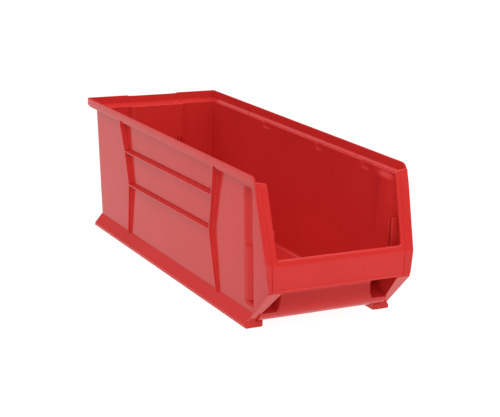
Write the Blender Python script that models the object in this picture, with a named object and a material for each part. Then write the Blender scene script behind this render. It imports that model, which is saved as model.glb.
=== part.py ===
"""Hanging parts bin: one open-fronted, red polypropylene moulding, 29-7/8 x 11 x 10 in.

The moulding is modelled as its named sections: floor, walls, stacking rim, hang hooks,
side ribs, front posts, label lip, chin, base runners and divider rails.
Metres, +Z up. +Y is the back, -Y the open front, X the width.
The origin is the centre of the base, on the surface that the bin stands on.
"""

import math

import bmesh
import bpy
from mathutils import Matrix, Vector

# Overall size, material thickness, gap between sections and reach of a cutter past its work
LENGTH = 0.7588
WIDTH = 0.2794
HEIGHT = 0.2540
WALL = 0.0030
GAP = 0.0003
CUT_MARGIN = 0.0020

HALF_WIDTH = WIDTH / 2
BACK = LENGTH / 2
FRONT = -LENGTH / 2

# Tapered walls: the outer faces at FOOT_HEIGHT and the outward slope above it
FOOT_HEIGHT = 0.0220
WALL_TOP = 0.2325
DEEP_TOP = WALL_TOP - 0.0004
SIDE_AT_FOOT = 0.1195
BACK_AT_FOOT = 0.3498
DRAFT = math.atan(0.0422)

# Floor
FLOOR_BOTTOM = 0.0100
FLOOR_TOP = FLOOR_BOTTOM + WALL
FLOOR_FRONT = -0.3057

# Stacking rim: a flat ledge with an upright rim round it
LEDGE_BOTTOM = 0.2330
LEDGE_TOP = 0.2360
LEDGE_EDGE = 0.1256
BACK_LEDGE_INSET = 0.0012
BACK_RIM_BOTTOM = LEDGE_TOP + GAP
RIM_BOTTOM = LEDGE_BOTTOM
RIM_INNER = HALF_WIDTH - WALL
RIM_CORNER_RADIUS = 0.0100
LEDGE_NOTCHES = ((0.1045, 0.1345), (-0.0900, -0.0680), (-0.2500, -0.2210))
NOTCH_DEPTH = 0.0060

# Middle of the back wall, set forward between two short returns
RECESS_DEPTH = 0.0080
RECESS_HALF = 0.0550
RIM_STEP = 0.0030
RIM_DROP = 0.0010

# Hooks that drop behind the back ledge and hang the bin on a rail
HOOK_INNER = 0.0620
HOOK_OUTER = 0.1180
HOOK_DEPTH = 0.0160
HOOK_FACE = 0.3761
HOOK_CHAMFER = 0.0040

# Divider rails at the back
BACK_RAIL_X = (0.0435, 0.0505)
BACK_RAIL_THICK = 0.0022
BACK_RAIL_REACH = 0.0060
BACK_RAIL_TOP = 0.1740

# Front posts: flanges in a plane that leans back towards the top
POST_TOP_Y = -0.3379
POST_FOOT_Y = -0.3771
POST_FOOT_Z = 0.1204
POST_TOP_Z = 0.2430
POST_LEAN = math.atan2(POST_TOP_Y - POST_FOOT_Y, HEIGHT - POST_FOOT_Z)
POST_BOTTOM_Z = 0.1282
POST_INNER = ((0.1182, POST_TOP_Z), (0.1172, 0.2360), (0.1159, 0.2000), (0.1147, 0.1600))
POST_INNER_LOW = 0.1138
POST_OUTER_LOW = 0.1355
POST_OUTER = ((0.1365, 0.1550), (0.1385, 0.2000))
POST_OUTER_HIGH = 0.1393

# Label lip across the front
LIP_BOTTOM = 0.0765
LIP_TOP = 0.1270
LIP_THICK = 0.0034
LIP_BEAD = 0.0008
LIP_BEAD_TOP = 0.0815
LIP_HALF_LOW = 0.1302
LIP_HALF_FOLD = 0.1354
LIP_HALF_TOP = 0.1356
LIP_SIDE_FOLD = 0.1190
LIP_EDGE = 0.0013

# Gusset strip from the lip down to the front foot, at 45 degrees
STRIP_FOOT_Y = -0.3150
STRIP_FOOT_Z = 0.0121
STRIP_LENGTH = 0.0874
STRIP_X_LOW = (0.1185, 0.1308)
STRIP_X_HIGH = (0.1060, 0.1300)

# Channel pressed into each side wall behind the front post
CHANNEL_REAR = -0.2810
CHANNEL_FRONT = -0.3140
CHANNEL_DEPTH = 0.0085
CHANNEL_BOTTOM = 0.0340
CHANNEL_TOP = 0.2295
CHANNEL_CORNER = 0.0120
CHANNEL_FOOT = 0.0170
BEAD_Y = -0.2935
BEAD_HALF = 0.0030
BEAD_LOW = 0.0420
BEAD_HIGH = 0.1270
BEAD_HEIGHT = 0.0035

# Window rails inside the front posts
WINDOW_RAIL_Y = (-0.3416, -0.3510)
WINDOW_RAIL_THICK = 0.0024
WINDOW_RAIL_TIP = 0.1080
WINDOW_RAIL_BOTTOM = 0.0740
WINDOW_RAIL_TOP = 0.1688

# Chin: the low front wall under the lip, with a pocket in each lower corner
CHIN_FACE = -0.3340
CHIN_TOP = 0.0600
CHIN_RADIUS = 0.0280
CHIN_HALF = 0.0860
POCKET_TOP_Y = -0.2920
POCKET_FOOT_ANGLE = 200
POCKET_HEEL_ANGLE = 225
SHELF_FRONT_Z = 0.0785
SHELF_THICK = 0.0032

# Base: outer skirt, inner runner and front foot on each side
SKIRT_HALF = 0.1347
SKIRT_EDGE = 0.0055
SKIRT_TOP = 0.0222
RUNNER_INNER = 0.1041
BASE_FRONT = -0.3147
BASE_BACK = 0.3493
SKIRT_ROOT = 0.0045
SKIRT_BEND = 0.0011
FOOT_CORNER = 0.0022
FOOT_TOP_X = 0.1310

# Ribs on the outside of the side walls
RIB_THICK = 0.0028
RIB_CENTRE_Y = 0.0100
RIB_PATH = ((0.1996, 0.2325), (0.1872, 0.1853), (0.1740, 0.1230), (0.1915, 0.0223))
RIB_REACH = ((0.1241, 0.0230), (0.1310, 0.1230), (0.1346, 0.1853), (0.1391, 0.2325))
LEDGE_RIB_Z = (0.1853, 0.1230)
LEDGE_RIB_TILT = 0.0045
RIB_ROOM = (0.1100, 0.1500)

RED = (0.62, 0.030, 0.022, 1.0)
ROUGHNESS = 0.32


def clear_scene():
    for item in list(bpy.data.objects):
        bpy.data.objects.remove(item, do_unlink=True)


def new_collection(name, hidden):
    collection = bpy.data.collections.new(name)
    bpy.context.scene.collection.children.link(collection)
    collection.hide_render = hidden
    return collection


def red_plastic(name):
    material = bpy.data.materials.new(name)
    material.use_nodes = True
    shader = material.node_tree.nodes["Principled BSDF"]
    shader.inputs["Base Color"].default_value = RED
    shader.inputs["Roughness"].default_value = ROUGHNESS
    shader.inputs["Metallic"].default_value = 0.0
    material.diffuse_color = RED
    return material


def side_x(z):
    """Outer face of a side wall at height z."""
    return SIDE_AT_FOOT + (z - FOOT_HEIGHT) * math.tan(DRAFT)


def side_inner_x(z):
    return side_x(z) - WALL / math.cos(DRAFT)


def back_y(z):
    """Outer face of the back wall at height z."""
    return BACK_AT_FOOT + (z - FOOT_HEIGHT) * math.tan(DRAFT)


def post_y(z):
    """Front face of the leaning posts at height z."""
    return POST_TOP_Y - (HEIGHT - z) * math.tan(POST_LEAN)


def arc(centre, radius, start, end, steps):
    """Points on an arc, angles in degrees."""
    points = []
    for step in range(steps + 1):
        angle = math.radians(start + (end - start) * step / steps)
        points.append((centre[0] + radius * math.cos(angle), centre[1] + radius * math.sin(angle)))
    return points


def axes(u, v, origin=(0, 0, 0)):
    """Frame whose outlines are drawn along u and v, and whose thickness is along u x v."""
    u = Vector(u).normalized()
    v = Vector(v).normalized()
    w = u.cross(v)
    frame = Matrix((u, v, w)).transposed().to_4x4()
    frame.translation = Vector(origin)
    return frame


# Outlines in these frames are (y, z), (x, z) and (x, y); their thickness is along +X, -Y and +Z
ALONG_X = axes((0, 1, 0), (0, 0, 1))
ALONG_Y = axes((1, 0, 0), (0, 0, 1))
ALONG_Z = axes((1, 0, 0), (0, 1, 0))


def prism(name, outline, low, high, frame, collection):
    """Flat outline given a thickness from low to high along the frame's third axis."""
    curve = bpy.data.curves.new(name, "CURVE")
    curve.dimensions = "2D"
    curve.fill_mode = "BOTH"
    curve.extrude = (high - low) / 2
    spline = curve.splines.new("POLY")
    spline.points.add(len(outline) - 1)
    for point, (u, v) in zip(spline.points, outline):
        point.co = (u, v, 0.0, 1.0)
    spline.use_cyclic_u = True
    outline_object = bpy.data.objects.new(name + "_outline", curve)
    bpy.context.scene.collection.objects.link(outline_object)
    bpy.context.view_layer.update()
    depsgraph = bpy.context.evaluated_depsgraph_get()
    mesh = bpy.data.meshes.new_from_object(outline_object.evaluated_get(depsgraph))
    bpy.data.objects.remove(outline_object)
    bpy.data.curves.remove(curve)
    tidy = bmesh.new()
    tidy.from_mesh(mesh)
    bmesh.ops.remove_doubles(tidy, verts=tidy.verts, dist=1e-6)
    bmesh.ops.translate(tidy, verts=tidy.verts, vec=(0, 0, (high + low) / 2))
    bmesh.ops.recalc_face_normals(tidy, faces=tidy.faces)
    tidy.to_mesh(mesh)
    tidy.free()
    mesh.name = name
    mesh.materials.clear()
    piece = bpy.data.objects.new(name, mesh)
    piece.matrix_world = frame
    collection.objects.link(piece)
    return piece


def boolean(piece, other, operation):
    modifier = piece.modifiers.new(operation.lower(), "BOOLEAN")
    modifier.operation = operation
    modifier.solver = "EXACT"
    modifier.object = other


def as_cutter(piece):
    piece.hide_render = True
    piece.display_type = "WIRE"
    return piece


def finish(piece, bin_parts):
    """Give a piece its own material and hang it under the bin's empty."""
    piece.data.materials.clear()
    piece.data.materials.append(red_plastic(piece.name + "_plastic"))
    placed = piece.matrix_world.copy()
    piece.parent = bin_parts["root"]
    piece.matrix_world = placed
    return piece


def mirrored(piece, name, collection, bin_parts):
    """The same section on the other side of the bin, with its modifiers' result baked in."""
    bpy.context.view_layer.update()
    depsgraph = bpy.context.evaluated_depsgraph_get()
    mesh = bpy.data.meshes.new_from_object(piece.evaluated_get(depsgraph))
    mesh.transform(Matrix.Scale(-1.0, 4, (1, 0, 0)) @ piece.matrix_world)
    mesh.flip_normals()
    mesh.name = name
    twin = bpy.data.objects.new(name, mesh)
    collection.objects.link(twin)
    return finish(twin, bin_parts)


def both_sides(piece, collection, bin_parts):
    """Finish a right-hand piece and make its left-hand twin."""
    finish(piece, bin_parts)
    mirrored(piece, piece.name.replace("right_", "left_", 1), collection, bin_parts)


def side_frame():
    """Frame on the outer face of the right side wall: y, height along the slope, outward."""
    return axes((0, 1, 0), (math.sin(DRAFT), 0, math.cos(DRAFT)), (side_x(0), 0, 0))


def back_frame():
    """Frame on the outer face of the back wall: -x, height along the slope, outward."""
    return axes((-1, 0, 0), (0, math.sin(DRAFT), math.cos(DRAFT)), (0, back_y(0), 0))


def up_slope(points):
    """Change (u, z) into distances along a wall that slopes by the draft angle."""
    return [(u, z / math.cos(DRAFT)) for u, z in points]


def make_floor(parts, bin_parts):
    half = side_inner_x(FLOOR_BOTTOM) - GAP
    rear = back_y(FLOOR_BOTTOM) - WALL - 2 * GAP
    recess = rear - RECESS_DEPTH
    notch = RECESS_HALF + WALL + GAP
    outline = [
        (-half, FLOOR_FRONT),
        (half, FLOOR_FRONT),
        (half, rear),
        (notch, rear),
        (notch, recess),
        (-notch, recess),
        (-notch, rear),
        (-half, rear),
    ]
    finish(prism("floor_panel", outline, FLOOR_BOTTOM, FLOOR_TOP, ALONG_Z, parts), bin_parts)


def make_side_walls(parts, bin_parts):
    rear_bottom = back_y(FLOOR_BOTTOM)
    outline = [
        (CHANNEL_REAR + GAP, FLOOR_BOTTOM),
        (rear_bottom, FLOOR_BOTTOM),
        (back_y(WALL_TOP), WALL_TOP),
        (CHANNEL_REAR + GAP, WALL_TOP),
    ]
    wall = prism("right_side_wall", up_slope(outline), -WALL, 0, side_frame(), parts)
    both_sides(wall, parts, bin_parts)


def make_window_channels(parts, cutters, bin_parts):
    """A vertical channel open to the outside, with a raised bead in its lower half."""
    outline = [
        (CHANNEL_FRONT, CHANNEL_FOOT),
        (CHANNEL_REAR, CHANNEL_FOOT),
        (CHANNEL_REAR, DEEP_TOP),
        (CHANNEL_FRONT, DEEP_TOP),
    ]
    depth = CHANNEL_DEPTH + WALL
    channel = prism("right_window_channel", up_slope(outline), -depth, 0, side_frame(), parts)
    front = CHANNEL_FRONT + WALL
    rear = CHANNEL_REAR - WALL
    corner = (front + CHANNEL_CORNER, CHANNEL_TOP - CHANNEL_CORNER)
    groove = [(front, CHANNEL_BOTTOM), (rear, CHANNEL_BOTTOM), (rear, CHANNEL_TOP)]
    groove += arc(corner, CHANNEL_CORNER, 90, 180, 5)
    frame = side_frame()
    cutter = prism(
        "channel_cutter", up_slope(groove), -CHANNEL_DEPTH, CUT_MARGIN, frame, cutters
    )
    boolean(channel, as_cutter(cutter), "DIFFERENCE")
    bead = arc((BEAD_Y, BEAD_HIGH), BEAD_HALF, 0, 180, 6)
    bead += arc((BEAD_Y, BEAD_LOW), BEAD_HALF, 180, 360, 6)
    low = -CHANNEL_DEPTH - WALL / 2
    bead_piece = prism(
        "channel_bead", up_slope(bead), low, BEAD_HEIGHT - CHANNEL_DEPTH, frame, cutters
    )
    boolean(channel, as_cutter(bead_piece), "UNION")
    both_sides(channel, parts, bin_parts)


def lip_back_y(z):
    """Back face of the lip at height z."""
    slope = (FRONT - POST_FOOT_Y) / (POST_FOOT_Z - LIP_BOTTOM)
    return POST_FOOT_Y + (POST_FOOT_Z - z) * slope + LIP_THICK


def make_front_panels(parts, bin_parts):
    """Side wall between the channel and the front post, cut back under the lip."""
    behind = WALL / math.cos(POST_LEAN) + GAP
    strip_line = FRONT + LIP_BOTTOM + (WALL + GAP) * math.sqrt(2)
    rear = CHANNEL_FRONT - GAP
    low_front = lip_back_y(LIP_BOTTOM) + 2 * GAP
    outline = [
        (rear, WALL_TOP),
        (rear, strip_line - rear),
        (low_front, strip_line - low_front),
        (lip_back_y(POST_FOOT_Z) + GAP, POST_FOOT_Z),
        (post_y(LIP_TOP + WALL) + behind + GAP, LIP_TOP + WALL),
        (post_y(WALL_TOP) + behind, WALL_TOP),
    ]
    panel = prism("right_front_panel", up_slope(outline), -WALL, 0, side_frame(), parts)
    both_sides(panel, parts, bin_parts)


def make_back_wall(parts, bin_parts):
    bottom = FLOOR_BOTTOM
    inner = RECESS_HALF + WALL + GAP
    side_panel = [
        (-inner, bottom),
        (-inner, WALL_TOP),
        (-side_inner_x(WALL_TOP) + GAP, WALL_TOP),
        (-side_inner_x(bottom) + GAP, bottom),
    ]
    frame = back_frame()
    panel = prism("right_back_panel", up_slope(side_panel), -WALL, 0, frame, parts)
    both_sides(panel, parts, bin_parts)
    half = RECESS_HALF - GAP
    middle = [(-half, bottom), (half, bottom), (half, DEEP_TOP), (-half, DEEP_TOP)]
    low = -WALL - RECESS_DEPTH
    centre = prism("back_center_panel", up_slope(middle), low, low + WALL, frame, parts)
    finish(centre, bin_parts)
    front = -RECESS_DEPTH - WALL / math.cos(DRAFT)
    web = [
        (back_y(bottom) + front, bottom),
        (back_y(bottom), bottom),
        (back_y(WALL_TOP), WALL_TOP),
        (back_y(WALL_TOP) + front, WALL_TOP),
    ]
    web_piece = prism("right_back_return", web, RECESS_HALF, RECESS_HALF + WALL, ALONG_X, parts)
    both_sides(web_piece, parts, bin_parts)


def make_back_rails(parts, bin_parts):
    """Two slots for a lengthwise divider, each between a pair of upright rails."""
    front = -RECESS_DEPTH - WALL - GAP
    frame = back_frame()
    names = ("right_inner_back_rail", "right_outer_back_rail")
    for name, x in zip(names, BACK_RAIL_X):
        outline = [
            (-x - BACK_RAIL_THICK, FLOOR_TOP + GAP),
            (-x, FLOOR_TOP + GAP),
            (-x, BACK_RAIL_TOP),
            (-x - BACK_RAIL_THICK, BACK_RAIL_TOP),
        ]
        rail = prism(name, up_slope(outline), front - BACK_RAIL_REACH, front, frame, parts)
        both_sides(rail, parts, bin_parts)


def make_ledges(parts, cutters, bin_parts):
    """Flat stacking ledge round three sides, notched along the inside of both sides."""
    front = -post_y(POST_TOP_Z) - WALL / math.cos(POST_LEAN) - GAP
    rear = -(back_y(LEDGE_BOTTOM) - WALL) + GAP
    outer = RIM_INNER - GAP
    section = [
        (LEDGE_EDGE, LEDGE_BOTTOM),
        (outer, LEDGE_BOTTOM),
        (outer, LEDGE_TOP),
        (LEDGE_EDGE, LEDGE_TOP),
    ]
    ledge = prism("right_stacking_ledge", section, rear, front, ALONG_Y, parts)
    for number, (low, high) in enumerate(LEDGE_NOTCHES):
        notch = [
            (LEDGE_EDGE - CUT_MARGIN, LEDGE_BOTTOM - CUT_MARGIN),
            (LEDGE_EDGE + NOTCH_DEPTH, LEDGE_BOTTOM - CUT_MARGIN),
            (LEDGE_EDGE + NOTCH_DEPTH, LEDGE_TOP + CUT_MARGIN),
            (LEDGE_EDGE - CUT_MARGIN, LEDGE_TOP + CUT_MARGIN),
        ]
        cutter = prism(f"notch_cutter_{number}", notch, -high, -low, ALONG_Y, cutters)
        boolean(ledge, as_cutter(cutter), "DIFFERENCE")
    both_sides(ledge, parts, bin_parts)
    edge = back_y(LEDGE_BOTTOM) - WALL
    step = RECESS_HALF + WALL
    rear_edge = BACK - BACK_LEDGE_INSET
    outline = [
        (-outer, edge),
        (-step, edge),
        (-step, edge - RECESS_DEPTH),
        (step, edge - RECESS_DEPTH),
        (step, edge),
        (outer, edge),
        (outer, rear_edge),
        (-outer, rear_edge),
    ]
    back = prism("back_stacking_ledge", outline, LEDGE_BOTTOM, LEDGE_TOP, ALONG_Z, parts)
    finish(back, bin_parts)


def make_rims(parts, bin_parts):
    """Upright rim on the ledge; its front ends are rounded down to the posts."""
    start = 180 - math.degrees(POST_LEAN)
    radius = RIM_CORNER_RADIUS
    run = radius * math.tan(math.radians((90 - math.degrees(POST_LEAN)) / 2))
    centre = (POST_TOP_Y + run, HEIGHT - radius)
    outline = [(BACK, HEIGHT), (BACK, RIM_BOTTOM), (post_y(RIM_BOTTOM), RIM_BOTTOM)]
    outline += arc(centre, radius, start, 90, 6)
    rim = prism("right_side_rim", outline, RIM_INNER, HALF_WIDTH, ALONG_X, parts)
    both_sides(rim, parts, bin_parts)
    step = RECESS_HALF - GAP
    side = [
        (RECESS_HALF, BACK - WALL),
        (RIM_INNER - GAP, BACK - WALL),
        (RIM_INNER - GAP, BACK),
        (RECESS_HALF, BACK),
    ]
    back = prism("right_back_rim", side, BACK_RIM_BOTTOM, HEIGHT, ALONG_Z, parts)
    both_sides(back, parts, bin_parts)
    front = BACK - WALL - RIM_STEP
    hat = [
        (-step, BACK),
        (-step, front),
        (step, front),
        (step, BACK),
        (step - WALL, BACK),
        (step - WALL, front + WALL),
        (-step + WALL, front + WALL),
        (-step + WALL, BACK),
    ]
    top = HEIGHT - RIM_DROP
    middle = prism("back_center_rim", hat, BACK_RIM_BOTTOM, top, ALONG_Z, parts)
    finish(middle, bin_parts)


def make_hang_hooks(parts, bin_parts):
    top = LEDGE_BOTTOM - GAP
    bottom = top - HOOK_DEPTH
    outline = [
        (HOOK_INNER, top),
        (HOOK_INNER, bottom + HOOK_CHAMFER),
        (HOOK_INNER + HOOK_CHAMFER, bottom),
        (HOOK_OUTER - HOOK_CHAMFER, bottom),
        (HOOK_OUTER, bottom + HOOK_CHAMFER),
        (HOOK_OUTER, top),
    ]
    hook = prism("right_hang_hook", outline, -HOOK_FACE, WALL - HOOK_FACE, ALONG_Y, parts)
    both_sides(hook, parts, bin_parts)


def post_frame():
    """Frame in the leaning plane of the posts: x, up along the lean, forward."""
    up = (0, math.sin(POST_LEAN), math.cos(POST_LEAN))
    return axes((1, 0, 0), up, (0, post_y(0), 0))


def make_front_posts(parts, bin_parts):
    under_rim = RIM_BOTTOM - GAP
    outline = list(POST_INNER) + [
        (POST_INNER_LOW, POST_BOTTOM_Z),
        (POST_OUTER_LOW, POST_BOTTOM_Z),
        *POST_OUTER,
        (POST_OUTER_HIGH, under_rim),
        (RIM_INNER - GAP, under_rim),
        (RIM_INNER - GAP, POST_TOP_Z),
    ]
    leaning = [(x, z / math.cos(POST_LEAN)) for x, z in outline]
    post = prism("right_front_post", leaning, -WALL, 0, post_frame(), parts)
    both_sides(post, parts, bin_parts)


def make_lip(parts, cutters, bin_parts):
    """Label face across the front; it narrows towards the bottom and has a bead there."""
    top_y = post_y(LIP_TOP)
    section = [
        (FRONT, LIP_BOTTOM),
        (FRONT, LIP_BEAD_TOP),
        (FRONT + LIP_BEAD, LIP_BEAD_TOP + LIP_BEAD),
        (POST_FOOT_Y, POST_FOOT_Z),
        (top_y, LIP_TOP - LIP_EDGE),
        (top_y + LIP_EDGE, LIP_TOP),
        (top_y + LIP_THICK, LIP_TOP),
        (POST_FOOT_Y + LIP_THICK, POST_FOOT_Z),
        (FRONT + LIP_THICK, LIP_BOTTOM),
    ]
    lip = prism("front_lip", section, -HALF_WIDTH, HALF_WIDTH, ALONG_X, parts)
    half = [
        (LIP_HALF_LOW, LIP_BOTTOM - CUT_MARGIN),
        (LIP_HALF_LOW, LIP_BOTTOM),
        (LIP_HALF_FOLD, LIP_SIDE_FOLD),
        (LIP_HALF_TOP, LIP_TOP + CUT_MARGIN),
    ]
    face = half + [(-x, z) for x, z in reversed(half)]
    behind = -lip_back_y(LIP_TOP) - WALL
    cutter = prism("lip_cutter", face, behind, CUT_MARGIN - FRONT, ALONG_Y, cutters)
    boolean(lip, as_cutter(cutter), "INTERSECT")
    finish(lip, bin_parts)


def chin_centre():
    return (CHIN_FACE + CHIN_RADIUS, FLOOR_BOTTOM + CHIN_RADIUS)


def make_chin(parts, bin_parts):
    """Front wall under the lip: it rounds into the floor and ends at the corner pockets."""
    centre = chin_centre()
    outline = arc(centre, CHIN_RADIUS, 270, 180, 8)
    outline += [(CHIN_FACE, CHIN_TOP), (CHIN_FACE + WALL, CHIN_TOP)]
    outline += arc(centre, CHIN_RADIUS - WALL, 180, 270, 8)
    half = CHIN_HALF - GAP
    finish(prism("chin_panel", outline, -half, half, ALONG_X, parts), bin_parts)


def make_pockets(parts, bin_parts):
    """Back, side web and roof of the pocket in the lower corner of the front."""
    centre = chin_centre()
    outer = CHIN_HALF + WALL
    wall = side_inner_x(FLOOR_BOTTOM) - GAP
    channel = side_x(FLOOR_BOTTOM) - CHANNEL_DEPTH - WALL - 2 * GAP
    foot = arc(centre, CHIN_RADIUS, 270, POCKET_FOOT_ANGLE, 5)
    foot_y, foot_z = foot[-1]
    lean = math.atan2(POCKET_TOP_Y - foot_y, CHIN_TOP - foot_z)
    across = WALL / math.cos(lean)
    inside = [(POCKET_TOP_Y + across, CHIN_TOP), (foot_y + across, foot_z)]
    inside += arc(centre, CHIN_RADIUS - WALL, POCKET_HEEL_ANGLE, 270, 3)
    back = foot + [(POCKET_TOP_Y, CHIN_TOP)] + inside
    back_piece = prism("right_pocket_back", back, outer + GAP, channel, ALONG_X, parts)
    both_sides(back_piece, parts, bin_parts)
    side = arc(centre, CHIN_RADIUS, 270, 180, 8)
    side += [(CHIN_FACE, CHIN_TOP)] + inside
    side_piece = prism("right_pocket_side", side, CHIN_HALF, outer, ALONG_X, parts)
    both_sides(side_piece, parts, bin_parts)
    low = CHIN_TOP + GAP
    roof = [
        (CHIN_HALF, CHIN_FACE + GAP),
        (wall, CHIN_FACE + GAP),
        (wall, CHANNEL_FRONT - 2 * GAP),
        (channel, CHANNEL_FRONT - 2 * GAP),
        (channel, POCKET_TOP_Y + across),
        (CHIN_HALF, POCKET_TOP_Y + across),
    ]
    roof_piece = prism("right_pocket_roof", roof, low, low + WALL, ALONG_Z, parts)
    both_sides(roof_piece, parts, bin_parts)


def make_shelf(parts, bin_parts):
    """Sloping floor of the hopper mouth, from the top of the chin to the foot of the lip."""
    low = CHIN_TOP + GAP
    front = lip_back_y(LIP_BOTTOM) + GAP
    half = side_inner_x(low) - 2 * GAP
    section = [
        (CHIN_FACE, low),
        (front, SHELF_FRONT_Z),
        (front, SHELF_FRONT_Z + SHELF_THICK),
        (CHIN_FACE, low + SHELF_THICK),
    ]
    finish(prism("mouth_shelf", section, -half, half, ALONG_X, parts), bin_parts)


def make_strips(parts, bin_parts):
    """Flange along the sloping front edge of the side wall, under the lip."""
    slope = math.radians(45)
    frame = axes(
        (1, 0, 0),
        (0, -math.cos(slope), math.sin(slope)),
        (0, STRIP_FOOT_Y, STRIP_FOOT_Z),
    )
    outline = [
        (STRIP_X_LOW[0], 0.0),
        (STRIP_X_LOW[1], 0.0),
        (STRIP_X_HIGH[1], STRIP_LENGTH),
        (STRIP_X_HIGH[0], STRIP_LENGTH),
    ]
    strip = prism("right_gusset_strip", outline, -WALL, 0, frame, parts)
    both_sides(strip, parts, bin_parts)


def make_base(parts, bin_parts):
    """Skirt, runner and front foot that the bin stands on and stacks with."""
    inside = SKIRT_HALF - WALL
    top_x = side_x(SKIRT_TOP) + GAP
    skirt = [
        (inside, 0),
        (SKIRT_HALF, 0),
        (SKIRT_HALF, SKIRT_EDGE),
        (top_x, SKIRT_TOP),
        (top_x, SKIRT_TOP - SKIRT_ROOT),
        (inside, SKIRT_EDGE - SKIRT_BEND),
    ]
    front = BASE_FRONT + WALL + GAP
    rear = BASE_BACK
    skirt_piece = prism("right_base_skirt", skirt, -rear, -front, ALONG_Y, parts)
    both_sides(skirt_piece, parts, bin_parts)
    top = FLOOR_BOTTOM - GAP
    runner = [
        (RUNNER_INNER, 0),
        (RUNNER_INNER + WALL, 0),
        (RUNNER_INNER + WALL, top),
        (RUNNER_INNER, top),
    ]
    runner_piece = prism("right_base_runner", runner, -rear, -front, ALONG_Y, parts)
    both_sides(runner_piece, parts, bin_parts)
    foot = [
        (RUNNER_INNER, top),
        (RUNNER_INNER, FOOT_CORNER),
        (RUNNER_INNER + FOOT_CORNER, 0),
        (SKIRT_HALF - FOOT_CORNER, 0),
        (SKIRT_HALF, FOOT_CORNER),
        (SKIRT_HALF, SKIRT_EDGE),
        (FOOT_TOP_X, top),
    ]
    foot_piece = prism("right_front_foot", foot, -front + GAP, -BASE_FRONT, ALONG_Y, parts)
    both_sides(foot_piece, parts, bin_parts)


def band(path, thickness):
    """Outline of an upright strip that follows a path of (y, z) points."""
    half = thickness / 2
    return [(y - half, z) for y, z in path] + [(y + half, z) for y, z in reversed(path)]


def rib_path_y(z):
    """Distance of the rib's path from the centre of the rib frame at height z."""
    for (y_top, z_top), (y_low, z_low) in zip(RIB_PATH, RIB_PATH[1:]):
        if z_low <= z <= z_top:
            return y_low + (y_top - y_low) * (z - z_low) / (z_top - z_low)
    return RIB_PATH[0][0]


def rib_end(z, half):
    """Half length of a ledge at height z that just clears both upright ribs."""
    nearest = min(rib_path_y(z - half), rib_path_y(z), rib_path_y(z + half))
    return nearest - half - GAP


def make_ribs(parts, cutters, bin_parts):
    """Two bent upright ribs on each side wall, joined by two ledges that rise to the front."""
    reach = list(RIB_REACH)
    root_low = (side_x(0.0230) + GAP, 0.0230)
    root_high = (side_x(WALL_TOP) + GAP, WALL_TOP)
    envelope = prism(
        "rib_envelope", reach + [root_high, root_low], FRONT, BACK, ALONG_Y, cutters
    )
    as_cutter(envelope)
    for name, sign in (("right_rear_rib", 1), ("right_front_rib", -1)):
        path = [(RIB_CENTRE_Y + sign * y, z) for y, z in RIB_PATH]
        rib = prism(name, band(path, RIB_THICK), *RIB_ROOM, ALONG_X, parts)
        boolean(rib, envelope, "INTERSECT")
        both_sides(rib, parts, bin_parts)
    half = RIB_THICK / 2
    for name, z in zip(("right_upper_ledge_rib", "right_lower_ledge_rib"), LEDGE_RIB_Z):
        rise = LEDGE_RIB_TILT / 2
        near = rib_end(z + rise, half)
        far = rib_end(z - rise, half)
        outline = [
            (RIB_CENTRE_Y - near, z + rise - half),
            (RIB_CENTRE_Y + far, z - rise - half),
            (RIB_CENTRE_Y + far, z - rise + half),
            (RIB_CENTRE_Y - near, z + rise + half),
        ]
        rib = prism(name, outline, *RIB_ROOM, ALONG_X, parts)
        boolean(rib, envelope, "INTERSECT")
        both_sides(rib, parts, bin_parts)


def make_window_rails(parts, bin_parts):
    """Upright rails behind each front post that a clear window slides between."""
    low_root = side_inner_x(WINDOW_RAIL_BOTTOM) - GAP
    high_root = side_inner_x(WINDOW_RAIL_TOP) - GAP
    outline = [
        (WINDOW_RAIL_TIP, WINDOW_RAIL_BOTTOM),
        (low_root, WINDOW_RAIL_BOTTOM),
        (high_root, WINDOW_RAIL_TOP),
        (WINDOW_RAIL_TIP, WINDOW_RAIL_TOP),
    ]
    names = ("right_rear_window_rail", "right_front_window_rail")
    for name, y in zip(names, WINDOW_RAIL_Y):
        rail = prism(name, outline, -y - WINDOW_RAIL_THICK, -y, ALONG_Y, parts)
        both_sides(rail, parts, bin_parts)


def main():
    clear_scene()
    parts = new_collection("hanging_parts_bin", False)
    cutters = new_collection("hanging_parts_bin_cutters", True)
    root = bpy.data.objects.new("bin_root", None)
    parts.objects.link(root)
    bin_parts = {"root": root}
    make_floor(parts, bin_parts)
    make_side_walls(parts, bin_parts)
    make_window_channels(parts, cutters, bin_parts)
    make_front_panels(parts, bin_parts)
    make_back_wall(parts, bin_parts)
    make_back_rails(parts, bin_parts)
    make_ledges(parts, cutters, bin_parts)
    make_rims(parts, bin_parts)
    make_hang_hooks(parts, bin_parts)
    make_front_posts(parts, bin_parts)
    make_lip(parts, cutters, bin_parts)
    make_chin(parts, bin_parts)
    make_pockets(parts, bin_parts)
    make_shelf(parts, bin_parts)
    make_strips(parts, bin_parts)
    make_base(parts, bin_parts)
    make_ribs(parts, cutters, bin_parts)
    make_window_rails(parts, bin_parts)
    bpy.context.view_layer.update()


main()
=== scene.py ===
"""Looks of the hanging parts bin: one glossy red polypropylene moulding.

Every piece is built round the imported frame, in metres, in the frame's own axes:
+Z up, +Y the back with its hang hooks, -Y the open front, X the width.
"""

import math

import bmesh
import bpy
from mathutils import Matrix, Vector


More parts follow.
